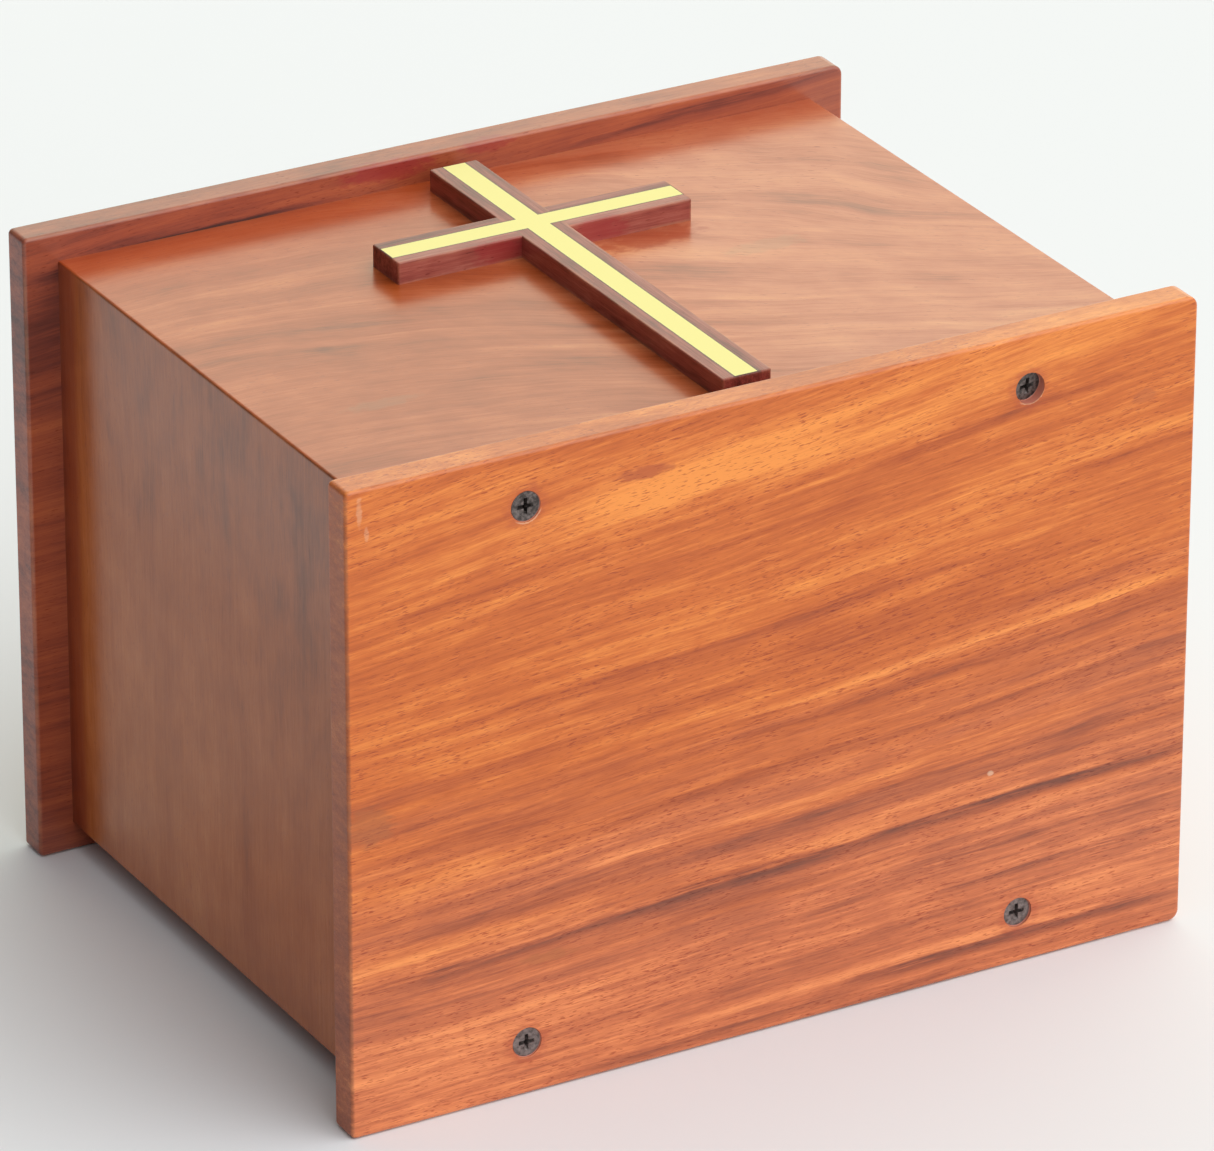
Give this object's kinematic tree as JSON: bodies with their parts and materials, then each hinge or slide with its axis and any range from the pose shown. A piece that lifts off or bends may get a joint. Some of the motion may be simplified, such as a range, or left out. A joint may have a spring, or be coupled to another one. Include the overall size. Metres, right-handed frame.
{
  "type": "donation box",
  "caption": "Closed hardwood box with overhanging base and top plates, a coin slot, a screwed-on base plate and a raised inlaid cross on its front.",
  "frame": {"origin": "under the middle of the box as it lies on its back, on the surface that the rear edges of the base and top plates rest on", "axes": "+X along the width, to the right seen from the base with the cross up; +Y from the screwed base plate to the top plate, which is upwards when the box stands in use; +Z out of the front panel that carries the cross"},
  "size_m": [0.25, 0.19, 0.182],
  "materials": {
    "lacquered_hardwood": "clear gloss lacquer over straight-grained reddish-orange hardwood",
    "joinery_wood": "unfinished pale joinery wood",
    "dark_hardwood": "satin lacquer over dark purple-brown hardwood",
    "brass_inlay": "brushed, flush with the wood",
    "black_steel": "black phosphate"
  },
  "bodies": {
    "carcass": {"top_plate": "lacquered_hardwood", "front_panel": "lacquered_hardwood", "back_panel": "lacquered_hardwood", "left_panel": "lacquered_hardwood", "right_panel": "lacquered_hardwood", "mitre_spline_front_left": "joinery_wood", "mitre_spline_front_right": "joinery_wood", "mitre_spline_back_left": "joinery_wood", "mitre_spline_back_right": "joinery_wood", "top_dowels": "joinery_wood", "cross_dowels": "joinery_wood", "cross_upright": "dark_hardwood", "cross_arm": "dark_hardwood", "inlay_upright": "brass_inlay", "inlay_arm_left": "brass_inlay", "inlay_arm_right": "brass_inlay"},
    "base": {"base_plate": "lacquered_hardwood"},
    "screw_front_left": {"screw_front_left": "black_steel"},
    "screw_front_right": {"screw_front_right": "black_steel"},
    "screw_back_left": {"screw_back_left": "black_steel"},
    "screw_back_right": {"screw_back_right": "black_steel"}
  },
  "joints": [
    {"name": "base_off", "type": "slide", "parent": "carcass", "child": "base", "axis": [0, -1, 0], "range_m": [0, 0.08]},
    {"name": "screw_front_left_out", "type": "slide", "parent": "base", "child": "screw_front_left", "axis": [0, -1, 0], "range_m": [0, 0.024]},
    {"name": "screw_front_right_out", "type": "slide", "parent": "base", "child": "screw_front_right", "axis": [0.1228, -0.9848, -0.1228], "range_m": [0, 0.024]},
    {"name": "screw_back_left_out", "type": "slide", "parent": "base", "child": "screw_back_left", "axis": [0, -1, 0], "range_m": [0, 0.024]},
    {"name": "screw_back_right_out", "type": "slide", "parent": "base", "child": "screw_back_right", "axis": [0, -1, 0], "range_m": [0, 0.024]}
  ]
}
